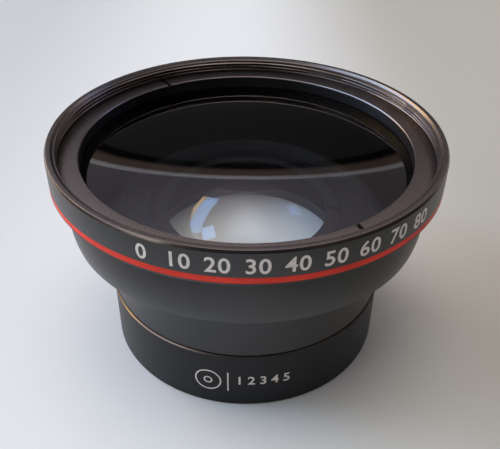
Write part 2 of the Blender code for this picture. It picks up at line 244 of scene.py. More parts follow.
def placed(name, data):
    """Puts a new object with this data in the scene."""
    obj = bpy.data.objects.new(name, data)
    bpy.context.scene.collection.objects.link(obj)
    return obj


def scaled(colour, share):
    return [channel * share for channel in colour[:3]] + [1.0]


def satin_anodised(name, colour, second, roughness, sheen=0.5, index=1.5, tint="#FFFFFF", turning=0.0):
    """Black anodised aluminium, blasted before the dye went in.

    The dyed oxide layer is a dark skin with a soft sheen: it has no metal colour of its own. The blasting
    leaves a grain of about 0.05 mm, drawn here at 0.4 mm so that it shows at all. Turned faces keep very
    fine rings from the tool, TOOL_FEED apart, and the dye gives their sheen a brown cast.
    """
    made, tree = empty_material(name)
    place = add(tree, "ShaderNodeTexCoord").outputs["Object"]
    cloud = add(tree, "ShaderNodeTexNoise", {"Scale": DYE_CLOUDS, "Detail": 3.0}, Vector=place)
    stops = [(0.35, linear(colour)), (0.65, linear(second))]
    tone = add(tree, "ShaderNodeValToRGB", {"stops": stops}, Fac=cloud.outputs["Fac"])
    settings = {"Scale": BLAST_GRAIN, "Detail": 2.0, "Roughness": 0.6}
    grain = add(tree, "ShaderNodeTexNoise", settings, Vector=place)
    settings = {"From Min": 0.3, "From Max": 0.7, "To Min": roughness - 0.04, "To Max": roughness + 0.05}
    gloss = add(tree, "ShaderNodeMapRange", settings, Value=grain.outputs["Fac"])
    bump = add(tree, "ShaderNodeBump", {"Strength": 0.12, "Distance": 0.02 * MM}, Height=grain.outputs["Fac"])
    normal = bump.outputs["Normal"]
    if turning:
        split = add(tree, "ShaderNodeVectorMath", {"operation": "MULTIPLY", 1: (1.0, 1.0, 0.0)}, i0=place)
        reach = add(tree, "ShaderNodeVectorMath", {"operation": "LENGTH"}, i0=split.outputs[0])
        settings = {"operation": "MULTIPLY", 1: math.tau / TOOL_FEED}
        rings = add(tree, "ShaderNodeMath", settings, i0=reach.outputs["Value"])
        wave = add(tree, "ShaderNodeMath", {"operation": "SINE"}, i0=rings.outputs[0])
        settings = {"Strength": turning, "Distance": 0.004 * MM}
        lathe = add(tree, "ShaderNodeBump", settings, Height=wave.outputs[0], Normal=normal)
        normal = lathe.outputs["Normal"]
    shader = add(
        tree,
        "ShaderNodeBsdfPrincipled",
        {"IOR": index, "Specular IOR Level": sheen, "Specular Tint": linear(tint)},
        Base_Color=tone.outputs["Color"],
        Roughness=gloss.outputs["Result"],
        Normal=normal,
    )
    return surfaced(made, shader)


def matt_black(name, colour, sheen=0.12):
    """Matt black lacquer inside the barrel: it swallows stray light, so it is nearly flat black."""
    made, tree = empty_material(name)
    place = add(tree, "ShaderNodeTexCoord").outputs["Object"]
    grain = add(tree, "ShaderNodeTexNoise", {"Scale": LACQUER_GRAIN, "Detail": 2.0}, Vector=place)
    stops = [(0.3, linear(colour)), (0.7, scaled(linear(colour), 1.6))]
    tone = add(tree, "ShaderNodeValToRGB", {"stops": stops}, Fac=grain.outputs["Fac"])
    settings = {"Roughness": 0.7, "Specular IOR Level": sheen}
    shader = add(tree, "ShaderNodeBsdfPrincipled", settings, Base_Color=tone.outputs["Color"])
    return surfaced(made, shader)


def red_enamel(name, colour, deep):
    """Red stove enamel in the ring's groove: a smooth film with a little darker pools along the ring and a fine
    ripple.
    """
    made, tree = empty_material(name)
    place = add(tree, "ShaderNodeTexCoord").outputs["Object"]
    flow = add(tree, "ShaderNodeTexNoise", {"Scale": ENAMEL_FLOW, "Detail": 2.0}, Vector=place)
    stops = [(0.3, linear(deep)), (0.6, linear(colour))]
    tone = add(tree, "ShaderNodeValToRGB", {"stops": stops}, Fac=flow.outputs["Fac"])
    ripple = add(tree, "ShaderNodeTexNoise", {"Scale": ENAMEL_RIPPLE}, Vector=place)
    bump = add(tree, "ShaderNodeBump", {"Strength": 0.08, "Distance": 0.03 * MM}, Height=ripple.outputs["Fac"])
    shader = add(
        tree,
        "ShaderNodeBsdfPrincipled",
        {"Roughness": 0.38, "Specular IOR Level": 0.22},
        Base_Color=tone.outputs["Color"],
        Normal=bump.outputs["Normal"],
    )
    return surfaced(made, shader)


def printed_white(name, colour):
    """Off-white printing ink, filled into the engraving and wiped: matt, with a faint unevenness."""
    made, tree = empty_material(name)
    place = add(tree, "ShaderNodeTexCoord").outputs["Object"]
    patches = add(tree, "ShaderNodeTexNoise", {"Scale": INK_PATCHES, "Detail": 2.0}, Vector=place)
    stops = [(0.35, scaled(linear(colour), 0.86)), (0.6, linear(colour))]
    tone = add(tree, "ShaderNodeValToRGB", {"stops": stops}, Fac=patches.outputs["Fac"])
    shader = add(tree, "ShaderNodeBsdfPrincipled", {"Roughness": 0.55}, Base_Color=tone.outputs["Color"])
    return surfaced(made, shader)


def coated_glass(name, index, tint, coating=None):
    """Polished optical glass, with the cast of its anti-reflection coating in what it mirrors.

    A surface without a coating colour is fully coated: it lets all the light through and mirrors none.
    Lamps reach what lies behind the glass, as they do through a real lens.
    """
    made, tree = empty_material(name)
    if coating:
        settings = {"Roughness": 0.0, "IOR": index, "Transmission Weight": 1.0, "Specular Tint": linear(coating)}
        shader = add(tree, "ShaderNodeBsdfPrincipled", {"Base Color": linear(tint), **settings})
    else:
        shader = add(tree, "ShaderNodeBsdfRefraction", {"Color": linear(tint), "Roughness": 0.0, "IOR": index})
    clear = add(tree, "ShaderNodeBsdfTransparent", {"Color": linear(tint)})
    light = add(tree, "ShaderNodeLightPath")
    surfaces = {"i1": shader.outputs[0], "i2": clear.outputs[0]}
    mix = add(tree, "ShaderNodeMixShader", None, Fac=light.outputs["Is Shadow Ray"], **surfaces)
    return surfaced(made, mix)


def seal_rubber(name, colour):
    """Black nitrile rubber, cut from sheet: dull, with a fine dusty bloom."""
    made, tree = empty_material(name)
    place = add(tree, "ShaderNodeTexCoord").outputs["Object"]
    bloom = add(tree, "ShaderNodeTexNoise", {"Scale": RUBBER_BLOOM, "Detail": 3.0}, Vector=place)
    stops = [(0.3, linear(colour)), (0.8, scaled(linear(colour), 2.6))]
    tone = add(tree, "ShaderNodeValToRGB", {"stops": stops}, Fac=bloom.outputs["Fac"])
    shader = add(tree, "ShaderNodeBsdfPrincipled", {"Roughness": 0.85}, Base_Color=tone.outputs["Color"])
    return surfaced(made, shader)


# ---- turning


def arc(centre, radius, start, end, steps):
    """Points of an arc in the profile plane, from one angle to the other in degrees, both ends included."""
    points = []
    for index in range(steps + 1):
        angle = math.radians(start + (end - start) * index / steps)
        points.append((centre[0] + radius * math.cos(angle), centre[1] + radius * math.sin(angle)))
    return points


def cap(curve, radius, top, steps):
    """Points of a spherical surface, from its middle on the axis out to a radius."""
    end = math.asin(radius / curve)
    return [
        (curve * math.sin(end * index / steps), top - curve + curve * math.cos(end * index / steps))
        for index in range(steps + 1)
    ]


def in_mm(points):
    """Radii and heights in millimetres as points of a profile."""
    return [(radius * MM, height * MM) for radius, height in points]


def flat_ring(lo, hi, bore):
    """Square profile of a ring that fills its solid's box, down to a bore."""
    return [(bore, hi.z), (hi.x, hi.z), (hi.x, lo.z), (bore, lo.z)]


def wall(radius, start, end, spacing):
    """Points down or up a straight wall, close enough together to hold a thread."""
    count = max(2, round(abs(end - start) / spacing))
    return [(radius, start + (end - start) * index / count) for index in range(count + 1)]


def eased(profile, radius, skip=()):
    """The profile with every corner broken by a small arc, as a lathe hand leaves it."""
    count = len(profile)
    closed = profile[0][0] > 0.0
    points = []
    for index, (x, z) in enumerate(profile):
        if index in skip or (not closed and index in (0, count - 1)):
            points.append((x, z))
            continue
        here = Vector((x, z))
        before = Vector(profile[index - 1]) - here
        after = Vector(profile[(index + 1) % count]) - here
        turn = before.angle(after)
        if turn > NEARLY_STRAIGHT or min(before.length, after.length) < SAME_PLACE:
            points.append((x, z))
            continue
        most = 0.4 * min(before.length, after.length)
        reach = min(radius / math.tan(turn / 2), most)
        first = here + before.normalized() * reach
        last = here + after.normalized() * reach
        for share in (0.0, 0.25, 0.5, 0.75, 1.0):
            a = first.lerp(here, share)
            b = here.lerp(last, share)
            points.append(tuple(a.lerp(b, share)))
    return points


def turned(name, profile, material, body, node, steps=STEPS):
    """Sweeps a profile round the axis, and lets the piece stand for its solid and ride on that solid's body."""
    mesh = bpy.data.meshes.new(name)
    shape = bmesh.new()
    points = [shape.verts.new((radius, 0.0, z)) for radius, z in profile]
    edges = [shape.edges.new(pair) for pair in zip(points, points[1:])]
    if profile[0][0] > 0.0:
        edges.append(shape.edges.new((points[-1], points[0])))
    bmesh.ops.spin(
        shape, geom=points + edges, axis=(0, 0, 1), cent=(0, 0, 0), angle=math.tau, steps=steps, use_merge=True
    )
    bmesh.ops.remove_doubles(shape, verts=shape.verts, dist=SAME_PLACE)
    bmesh.ops.recalc_face_normals(shape, faces=shape.faces)
    shape.to_mesh(mesh)
    shape.free()
    obj = placed(name, mesh)
    mesh.materials.append(material)
    finish_surface(obj)
    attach(obj, body)
    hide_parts(node)
    return obj


def finish_surface(obj):
    obj.data.shade_smooth()
    obj.data.set_sharp_from_angle(angle=SHARP_EDGE)


def cut_thread(obj, radius, low, high, pitch, depth):
    """Moves the points of a straight wall in and out along a right-hand helix, with flat crests and roots.

    It runs out over a part of the pitch at both ends.
    """
    tolerance, crest, run_out = 0.02 * MM, 1.5, 0.6 * pitch
    for vertex in obj.data.vertices:
        x, y, z = vertex.co
        reach = math.hypot(x, y)
        if abs(reach - radius) > tolerance or not low < z < high:
            continue
        turn = z / pitch - math.atan2(y, x) / math.tau
        ridge = 4 * abs(turn % 1.0 - 0.5) - 1
        ridge = max(-1.0, min(1.0, crest * ridge))
        fade = min(1.0, (z - low) / run_out, (high - z) / run_out)
        scale = (reach + ridge * depth / 2 * max(fade, 0.0)) / reach
        vertex.co.x = x * scale
        vertex.co.y = y * scale
    obj.data.update()


def mill_slots(obj, azimuth, inner, outer, floor, width):
    """Cuts the two spanner slots, in line across the ring, and gives their faces the matt black lacquer as painted
    shade in the recess.
    """
    shape = bmesh.new()
    overrun, height = 1.2 * MM, 4 * MM
    size = Matrix.Diagonal((width, outer - inner + overrun, height, 1.0))
    place = Matrix.Translation((0.0, -(inner + outer) / 2, floor + height / 2))
    for side in (azimuth, azimuth + 180):
        turn = Matrix.Rotation(math.radians(side), 4, "Z")
        bmesh.ops.create_cube(shape, size=1.0, matrix=turn @ place @ size)
    mesh = bpy.data.meshes.new(obj.name + "_cutter")
    shape.to_mesh(mesh)
    shape.free()
    # The slots' faces take the matt black lacquer: painted shade in the recess.
    mesh.materials.append(materials["inside"])
    cutter = placed(obj.name + "_cutter", mesh)
    slots = obj.modifiers.new("Slots", "BOOLEAN")
    slots.operation = "DIFFERENCE"
    slots.material_mode = "TRANSFER"
    slots.object = cutter
    bpy.context.view_layer.update()
    graph = bpy.context.evaluated_depsgraph_get()
    cut = bpy.data.meshes.new_from_object(obj.evaluated_get(graph))
    obj.modifiers.clear()
    obj.data = cut
    bpy.data.objects.remove(cutter, do_unlink=True)
    finish_surface(obj)


# ---- sizes and colours that a user would change


def length(name, description, default):
    return bpy.props.FloatProperty(name=name, description=description, default=default, unit="LENGTH", precision=5)


def hexcolour(name, description, default):
    return bpy.props.StringProperty(name=name, description=description, default=default)


class RimSizes(bpy.types.PropertyGroup):
    """Sizes of the rim, with the filter thread and the red line."""

    radius: length("Rim radius", "Outer radius of the rim", radius_of("front_ring"))
    land: length("Land", "Width of the flat top of the rim", 0.9 * MM)
    chamfer: length("Chamfer width", "Width of the rim's outer chamfer", 0.3 * MM)
    chamfer_height: length("Chamfer height", "Height of the rim's outer chamfer", 0.5 * MM)
    band_base: length("Band base", "Height of the lower edge of the printed band", 42.87 * MM)
    red_top: length("Red line top", "Height of the top of the red line", 42.85 * MM)
    red_base: length("Red line base", "Height of the foot of the red line", 41.62 * MM)
    thread: length("Filter thread radius", "Mean radius of the filter thread", 38.27 * MM)
    thread_base: length("Filter thread base", "Height where the filter thread ends", 45.25 * MM)
    pitch: length("Thread pitch", "Distance from ridge to ridge", 0.75 * MM)
    depth: length("Thread depth", "Height of the ridges", 0.42 * MM)
    lead: length("Thread lead", "Plain part of the wall under the filter thread", 0.02 * MM)
    relief: length("Relief radius", "Radius of the wall under the filter thread", 38.45 * MM)
    clearance: length("Mouth clearance", "Gap between the thread's roots and the mouth above it", 0.05 * MM)
    edge: length("Broken edge", "Rounding of the rim's edges", 0.07 * MM)
    crown: length("Red line crown", "How far the red line's edges fall back", 0.06 * MM)


class RingSizes(bpy.types.PropertyGroup):
    """Sizes of the slotted ring that holds the front glass."""

    radius: length("Flange radius", "Outer radius of the flange", 38.3 * MM)
    bore: length("Bore radius", "Radius of the opening", 34.0 * MM)
    outer_top: length("Outer height", "Height of the flange's outer edge", 45.0 * MM)
    inner_top: length("Inner height", "Height of the flange's inner edge", 45.3 * MM)
    bevel: length("Inner bevel", "Bevel round the opening", 0.2 * MM)
    slot_width: length("Slot width", "Width of a spanner slot", 0.9 * MM)
    slot_depth: length("Slot depth", "Depth of a spanner slot", 0.5 * MM)
    edge: length("Broken edge", "Rounding of the ring's edges", 0.05 * MM)


class BarrelSizes(bpy.types.PropertyGroup):
    """Sizes of the bell and the neck."""

    flange_top: length("Flange top", "Height of the flange under the red line", 41.60 * MM)
    bell_widest: length("Bell radius", "Largest radius of the bell", 37.6 * MM)
    bell_curve: length("Bell curve", "Radius of curvature of the bell's outline", 19.0 * MM)
    bell_top: length("Bell top", "Height where the bell's shoulder begins", 38.9 * MM)
    shoulder: length("Shoulder", "Rounding of the bell's shoulder", 0.9 * MM)
    bell_foot: length("Bell foot", "Radius of the bell at its lower edge", 36.95 * MM)
    bell_base: length("Bell base", "Height of the bell's lower edge", 29.9 * MM)
    edge: length("Broken edge", "Rounding of the bell's lower edge", 0.12 * MM)
    neck: length("Neck radius", "Radius of the neck", 29.9 * MM)
    seam: length("Seam", "Height of the seam between the two units", 14.285 * MM)


class GlassSizes(bpy.types.PropertyGroup):
    """Curves of the three lenses."""

    front_curve: length("Front curve", "Radius of curvature of the front glass's outer side", 0.165)
    front_hollow: length("Front hollow", "Radius of curvature of the front glass's inner side", 0.045)
    front_centre: length("Front centre", "Thickness in the middle of the front glass", 2.9 * MM)
    hollow_radius: length("Hollow radius", "Radius of the front glass's hollow", 29.0 * MM)
    chamfer: length("Glass chamfer", "Width of the chamfer round the front glass", 0.3 * MM)
    second_curve: length("Second curve", "Radius of curvature of the second lens's upper side", 0.040)
    second_hollow: length("Second hollow", "Radius of curvature of the second lens's lower side", 0.070)
    macro_curve: length("Macro curve", "Radius of curvature of the macro lens", 0.120)


class MarkSizes(bpy.types.PropertyGroup):
    """Sizes of the printed marks."""

    digit: length("Digit height", "Height of the numbers on the band", 3.0 * MM)
    small_digit: length("Small digit height", "Height of the numbers on the macro barrel", 2.3 * MM)
    dial: length("Dial radius", "Radius of the ring mark on the macro barrel", 2.8 * MM)
    tick: length("Tick length", "Height of the index line", 5.4 * MM)
    line: length("Line width", "Width of the index line and of the ring mark", 0.3 * MM)
    film: length("Ink height", "How far the ink stands above the metal", 0.02 * MM)
    bold: bpy.props.FloatProperty(
        name="Boldness", description="How much the strokes gain, as a share of the height", default=0.022
    )


class Finishes(bpy.types.PropertyGroup):
    """Colours of the finishes and of the floor, as sRGB hex values; the floor's tones are painted light and shade.
    """

    black: hexcolour("Black", "Anodised black", "#171618")
    black_second: hexcolour("Second black", "Lighter cloud in the anodised black", "#1D1C1E")
    inside: hexcolour("Inside black", "Matt black inside", "#070707")
    red: hexcolour("Red", "Red line", "#F2402C")
    red_deep: hexcolour("Deep red", "Thicker parts of the red line", "#DC3424")
    ink: hexcolour("Ink", "Printed marks", "#EAE2DC")
    rubber: hexcolour("Rubber", "Cushion under the front glass", "#141414")
    sheen: hexcolour("Brown sheen", "Cast of the sheen on turned black faces", "#FFEAE0")
    # The floor's three tones are painted: the middle is a painted pool of light round the lens, and the sides are
    # painted shade, darkest and warmest on the side away from the window.
    floor_cool_painted_shade: hexcolour("Floor, window side", "Floor on the side of the window", "#C1C1BE")
    floor_middle_painted_light: hexcolour("Floor, middle", "Floor round the lens", "#E2E1DC")
    floor_warm_painted_shade: hexcolour("Floor, far side", "Floor on the side away from the window", "#B3AD9F")


GROUPS = {
    "lens_rim": RimSizes,
    "lens_ring": RingSizes,
    "lens_barrel": BarrelSizes,
    "lens_glass": GlassSizes,
    "lens_marks": MarkSizes,
    "lens_finishes": Finishes,
}

materials = {}


def make_materials(colours):
    black, second = colours.black, colours.black_second
    oxide = {"sheen": 1.0, "index": 1.76, "tint": colours.sheen}
    materials["satin"] = satin_anodised("Black anodised aluminium, blasted", black, second, 0.36, sheen=0.59)
    materials["macro"] = satin_anodised("Black anodised aluminium, coarsely blasted", black, black, 0.42, sheen=0.28)
    materials["turned"] = satin_anodised(
        "Black anodised aluminium, fine turned", black, second, 0.30, turning=0.25, **oxide
    )
    materials["land"] = satin_anodised("Black anodised aluminium, diamond turned", black, black, 0.18, **oxide)
    materials["inside"] = matt_black("Matt black lacquer on aluminium", colours.inside)
    materials["red"] = red_enamel("Red stove enamel", colours.red, colours.red_deep)
    materials["ink"] = printed_white("Off-white filling ink", colours.ink)
    materials["rubber"] = seal_rubber("Nitrile rubber, cut", colours.rubber)
    materials["front_glass"] = coated_glass("Glass, lightly coated", GLASS_INDEX, "#FFFFFF", "#ECF0FF")
    materials["clear_glass"] = coated_glass("Glass, fully coated", GLASS_INDEX, "#FEFEFE")
    materials["second_glass"] = coated_glass("Glass, polished", GLASS_INDEX, "#FFFFFF", "#EEF3FF")
    materials["edge_paint"] = matt_black("Black lens edge paint", "#020202", sheen=0.0)


# ---- pieces


class LENS_OT_front_ring(bpy.types.Operator):
    """Rim with its land, chamfers and filter thread"""

    bl_idname = "lens.front_ring"
    bl_label = "Front ring"

    def execute(self, context):
        rim = context.scene.lens_rim
        top = top_of("front_ring")
        land_outer = rim.radius - rim.chamfer
        land_inner = land_outer - rim.land
        mouth = rim.thread + rim.depth / 2 + rim.clearance
        thread_top = top - (land_inner - mouth)
        skirt = base_of("front_ring")
        profile = [
            (land_inner, top),
            (land_outer, top),
            (rim.radius, top - rim.chamfer_height),
            (rim.radius, rim.band_base),
            (SKIRT_RADIUS, rim.band_base),
            (SKIRT_RADIUS, skirt),
            (SKIRT_BORE, skirt),
            (SKIRT_BORE, SKIRT_TOP),
            (rim.relief, SKIRT_TOP),
            (rim.relief, rim.thread_base),
        ]
        profile = eased(profile, rim.edge, skip=(len(profile) - 1,))
        profile += wall(rim.thread, rim.thread_base + rim.lead, thread_top, rim.pitch / 10)
        profile.append((mouth, thread_top))
        ring = turned("front_ring_machined", profile, materials["satin"], WIDE, "front_ring")
        cut_thread(ring, rim.thread, rim.thread_base, thread_top, rim.pitch, rim.depth)
        ring.data.materials.append(materials["turned"])
        ring.data.materials.append(materials["land"])
        for face in ring.data.polygons:
            reach = math.hypot(*face.center.xy)
            if face.center.z > top - rim.chamfer_height and reach > land_outer:
                face.material_index = 2
            elif reach < land_outer:
                face.material_index = 1
        finish_surface(ring)
        return {"FINISHED"}


class LENS_OT_red_ring(bpy.types.Operator):
    """Thin red ring under the printed band, slightly crowned"""

    bl_idname = "lens.red_ring"
    bl_label = "Red ring"

    def execute(self, context):
        rim = context.scene.lens_rim
        crown = rim.crown
        middle = (rim.red_top + rim.red_base) / 2
        profile = [
            (RED_BORE, rim.red_top),
            (rim.radius - crown, rim.red_top),
            (rim.radius - crown / 4, middle + (rim.red_top - middle) / 2),
            (rim.radius, middle),
            (rim.radius - crown / 4, middle - (rim.red_top - middle) / 2),
            (rim.radius - crown, rim.red_base),
            (RED_BORE, rim.red_base),
        ]
        turned("red_ring_enamelled", profile, materials["red"], WIDE, "red_ring")
        return {"FINISHED"}


class LENS_OT_front_retaining_ring(bpy.types.Operator):
    """Slotted ring that holds the front glass, with a bevel round its opening"""

    bl_idname = "lens.front_retaining_ring"
    bl_label = "Front retaining ring"

    def execute(self, context):
        ring = context.scene.lens_ring
        base = base_of("front_retaining_ring") - RING_NOSE_DROP
        wall_top = ring.inner_top - ring.bevel
        profile = [
            (ring.bore + ring.bevel, ring.inner_top),
            (ring.radius, ring.outer_top),
            (ring.radius, FLANGE_FOOT),
            (RING_BODY, FLANGE_FOOT),
            (RING_BODY, RING_STEP),
            (RING_NOSE, RING_STEP),
            (RING_NOSE, base),
            (ring.bore, base),
            (ring.bore, wall_top),
        ]
        profile = eased(profile, ring.edge)
        name = "front_retaining_ring_machined"
        piece = turned(name, profile, materials["turned"], WIDE, "front_retaining_ring")
        piece.data.materials.append(materials["inside"])
        mill_slots(piece, SLOT_AZIMUTH, ring.bore, ring.radius, ring.inner_top - ring.slot_depth, ring.slot_width)
        piece.data.materials.append(materials["macro"])
        for face in piece.data.polygons:
            reach = math.hypot(*face.center.xy)
            if face.material_index == 0 and face.center.z < wall_top and reach < RING_BODY + 0.1 * MM:
                face.material_index = 2
        return {"FINISHED"}


class LENS_OT_front_glass(bpy.types.Operator):
    """Large front lens, domed outside and deeply hollow inside"""

    bl_idname = "lens.front_glass"
    bl_label = "Front glass"

    def execute(self, context):
        glass = context.scene.lens_glass
        radius = radius_of("front_element")
        top = top_of("front_element")
        base = base_of("front_element")
        profile = cap(glass.front_curve, radius - glass.chamfer, top, FRONT_STEPS)
        edge_top = profile[-1][1] - glass.chamfer
        profile += [(radius, edge_top), (radius, base)]
        profile += reversed(cap(glass.front_hollow, glass.hollow_radius, top - glass.front_centre, GLASS_STEPS))
        lens = turned("front_element_polished", profile, materials["front_glass"], WIDE, "front_element")
        lens.data.materials.append(materials["clear_glass"])
        lens.data.materials.append(materials["edge_paint"])
        for face in lens.data.polygons:
            reach = math.hypot(*face.center.xy)
            if reach > glass.hollow_radius and face.center.z < edge_top:
                face.material_index = 2
            elif face.normal.z < 0.0:
                face.material_index = 1
        return {"FINISHED"}


class LENS_OT_main_barrel(bpy.types.Operator):
    """Bell, neck and rear thread in one"""

    bl_idname = "lens.main_barrel"
    bl_label = "Main barrel"

    def execute(self, context):
        barrel = context.scene.lens_barrel
        rim = context.scene.lens_rim
        top = top_of("main_barrel")
        end = base_of("main_barrel")
        bevel, bevel_foot = FLANGE_BEVEL[0] * MM, FLANGE_BEVEL[1] * MM
        profile = [
            (FLANGE_SEAT * MM, top),
            (FLANGE_SEAT * MM, barrel.flange_top),
            (rim.radius, barrel.flange_top),
            (rim.radius - bevel, bevel_foot),
        ]
        foot_turn = math.acos(1 - (barrel.bell_widest - barrel.bell_foot) / barrel.bell_curve)
        middle = barrel.bell_base + barrel.bell_curve * math.sin(foot_turn)
        top_turn = math.asin((barrel.bell_top - middle) / barrel.bell_curve)
        centre = (barrel.bell_widest - barrel.bell_curve, middle)
        bell = arc(centre, barrel.bell_curve, math.degrees(top_turn), -math.degrees(foot_turn), BELL_STEPS)
        profile += in_mm([GROOVE]) + [(GROOVE[0] * MM, barrel.bell_top + GROOVE_FOOT * MM)]
        across, up = barrel.shoulder * math.cos(top_turn), barrel.shoulder * math.sin(top_turn)
        shoulder = (bell[0][0] - across, bell[0][1] - up)
        profile += arc(shoulder, barrel.shoulder, 75, math.degrees(top_turn), 8)[:-1] + bell
        profile += arc((barrel.bell_foot - barrel.edge, barrel.bell_base), barrel.edge, -20, -80, 3)
        profile += in_mm(FLARE)
        profile += [(barrel.neck, NECK_TOP * MM), (barrel.neck, barrel.seam), (JOINT_MALE, barrel.seam)]
        profile += wall(JOINT_MALE, JOINT_TOP, end + THREAD_LEAD, RIDGE_POINTS)
        profile += [(JOINT_MALE - THREAD_LEAD, end), (BARREL_INSIDE[0][0] * MM, end)]
        profile += in_mm(BARREL_INSIDE) + [(BARREL_INSIDE[-1][0] * MM, top)]
        piece = turned("main_barrel_machined", profile, materials["satin"], WIDE, "main_barrel")
        cut_thread(piece, JOINT_MALE, end + THREAD_LEAD, JOINT_TOP, PITCH, RIDGE)
        piece.data.materials.append(materials["inside"])
        piece.data.materials.append(materials["land"])
        for face in piece.data.polygons:
            reach = math.hypot(*face.center.xy)
            height = face.center.z
            if reach < barrel.bell_foot and (height > CUP_FLOOR or reach < JOINT_BORE):
                face.material_index = 1
            elif bevel_foot - 0.05 * MM < height < barrel.flange_top and reach > rim.radius - 0.7 * MM:
                face.material_index = 2
        finish_surface(piece)
        return {"FINISHED"}


class LENS_OT_inner_pieces(bpy.types.Operator):
    """Cushion, stepped baffle, second lens and its slotted ring, inside the barrel"""

    bl_idname = "lens.inner_pieces"
    bl_label = "Inner pieces"

    def execute(self, context):
        glass = context.scene.lens_glass
        lo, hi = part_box("front_seal")
        profile = eased(flat_ring(lo, hi, hi.x - CUSHION_WIDTH), 0.1 * MM)
        turned("front_seal_cut", profile, materials["rubber"], WIDE, "front_seal", INNER_STEPS)
        lo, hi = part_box("baffle_ring")
        profile = []
        for index in range(BAFFLE_STEPS):
            radius = BAFFLE_THROAT + BAFFLE_REACH * index / BAFFLE_STEPS
            height = lo.z + (hi.z - lo.z) * (index + 1) / BAFFLE_STEPS - BAFFLE_LIP
            profile.append((radius, height))
            profile.append((radius + BAFFLE_REACH / BAFFLE_STEPS * BAFFLE_TREAD, height))
        mouth = profile[-1][0] + 0.05 * MM
        profile = [(mouth, hi.z), (hi.x, hi.z), (hi.x, lo.z), (BAFFLE_THROAT, lo.z)] + profile
        turned("baffle_ring_machined", profile, materials["inside"], WIDE, "baffle_ring", INNER_STEPS)
        lo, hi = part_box("second_retaining_ring")
        profile = eased(flat_ring(lo, hi, SECOND_BORE), INNER_EDGE)
        name = "second_retaining_ring_machined"
        ring = turned(name, profile, materials["inside"], WIDE, "second_retaining_ring", INNER_STEPS)
        mill_slots(ring, SECOND_SLOTS, SECOND_BORE, hi.x, hi.z - INNER_SLOT_DEPTH, INNER_SLOT_WIDTH)
        lo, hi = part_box("second_element")
        profile = cap(glass.second_curve, hi.x, hi.z, GLASS_STEPS)
        profile.append((hi.x, lo.z))
        hollow = cap(glass.second_hollow, SECOND_BORE, lo.z, CURVE_STEPS)
        rise = lo.z - hollow[-1][1]
        profile += [(x, z + rise) for x, z in reversed(hollow)]
        name = "second_element_polished"
        lens = turned(name, profile, materials["second_glass"], WIDE, "second_element", INNER_STEPS)
        lens.data.materials.append(materials["clear_glass"])
        for face in lens.data.polygons:
            if face.normal.z < 0.0:
                face.material_index = 1
        return {"FINISHED"}


class LENS_OT_macro_unit(bpy.types.Operator):
    """Macro barrel with its two threads, the macro lens and its slotted ring"""

    bl_idname = "lens.macro_unit"
    bl_label = "Macro unit"

    def execute(self, context):
        glass = context.scene.lens_glass
        radius = radius_of("macro_barrel")
        top = top_of("macro_barrel")
        chamfer = MACRO_CHAMFER
        profile = [(radius - chamfer, top), (radius, top - chamfer), (radius, chamfer), (radius - chamfer, 0.0)]
        profile += in_mm(MACRO_SKIRT)
        thread_base, thread_top = REAR_THREAD_ENDS
        profile += wall(REAR_THREAD, thread_top, thread_base, RIDGE_POINTS)
        profile += in_mm(MACRO_INSIDE)
        profile += wall(JOINT_FEMALE, JOINT_BASE, top - THREAD_LEAD, RIDGE_POINTS)
        profile.append((JOINT_FEMALE + THREAD_LEAD, top))
        piece = turned("macro_barrel_machined", profile, materials["macro"], MACRO, "macro_barrel")
        cut_thread(piece, REAR_THREAD, thread_base, thread_top, PITCH, RIDGE)
        cut_thread(piece, JOINT_FEMALE, JOINT_BASE, top - THREAD_LEAD, PITCH, RIDGE)
        piece.data.materials.append(materials["turned"])
        for face in piece.data.polygons:
            if face.center.z > top - chamfer and math.hypot(*face.center.xy) > radius - chamfer:
                face.material_index = 1
        finish_surface(piece)
        lo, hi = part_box("macro_retaining_ring")
        profile = eased(flat_ring(lo, hi, MACRO_BORE), INNER_EDGE)
        name = "macro_retaining_ring_machined"
        ring = turned(name, profile, materials["inside"], MACRO, "macro_retaining_ring", INNER_STEPS)
        mill_slots(ring, MACRO_SLOTS, MACRO_BORE, hi.x, hi.z - INNER_SLOT_DEPTH, INNER_SLOT_WIDTH)
        lo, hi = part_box("macro_element")
        profile = cap(glass.macro_curve, hi.x, hi.z, CURVE_STEPS)
        profile += [(hi.x, lo.z), (0.0, lo.z)]
        name = "macro_element_polished"
        turned(name, profile, materials["clear_glass"], MACRO, "macro_element", INNER_STEPS)
        return {"FINISHED"}


def wrapped(shape, radius, azimuth, height, film):
    """Lays flat print on a cylinder: x runs round it from an azimuth, y up from a height, z outwards."""
    for vertex in shape.verts:
        x, y, z = vertex.co
        angle = math.radians(azimuth) + x / radius
        reach = radius + (film if z > 0 else -film)
        vertex.co = (reach * math.sin(angle), -reach * math.cos(angle), height + y)


def stamp(shape, outer, inner=None):
    """Adds a flat outline to the print, 2 units thick, with a hole of as many points if one is given."""
    rows = []
    for level in (-1.0, 1.0):
        rows.append([shape.verts.new((x, y, level)) for x, y in outer])
        if inner:
            rows.append([shape.verts.new((x, y, level)) for x, y in inner])
    if not inner:
        shape.faces.new(rows[0])
        shape.faces.new(rows[1])
    pairs = [(0, 1)] if not inner else [(0, 1), (0, 2), (1, 3), (2, 3)]
    for a, b in pairs:
        for index in range(len(outer)):
            after = (index + 1) % len(outer)
            shape.faces.new((rows[a][index], rows[a][after], rows[b][after], rows[b][index]))


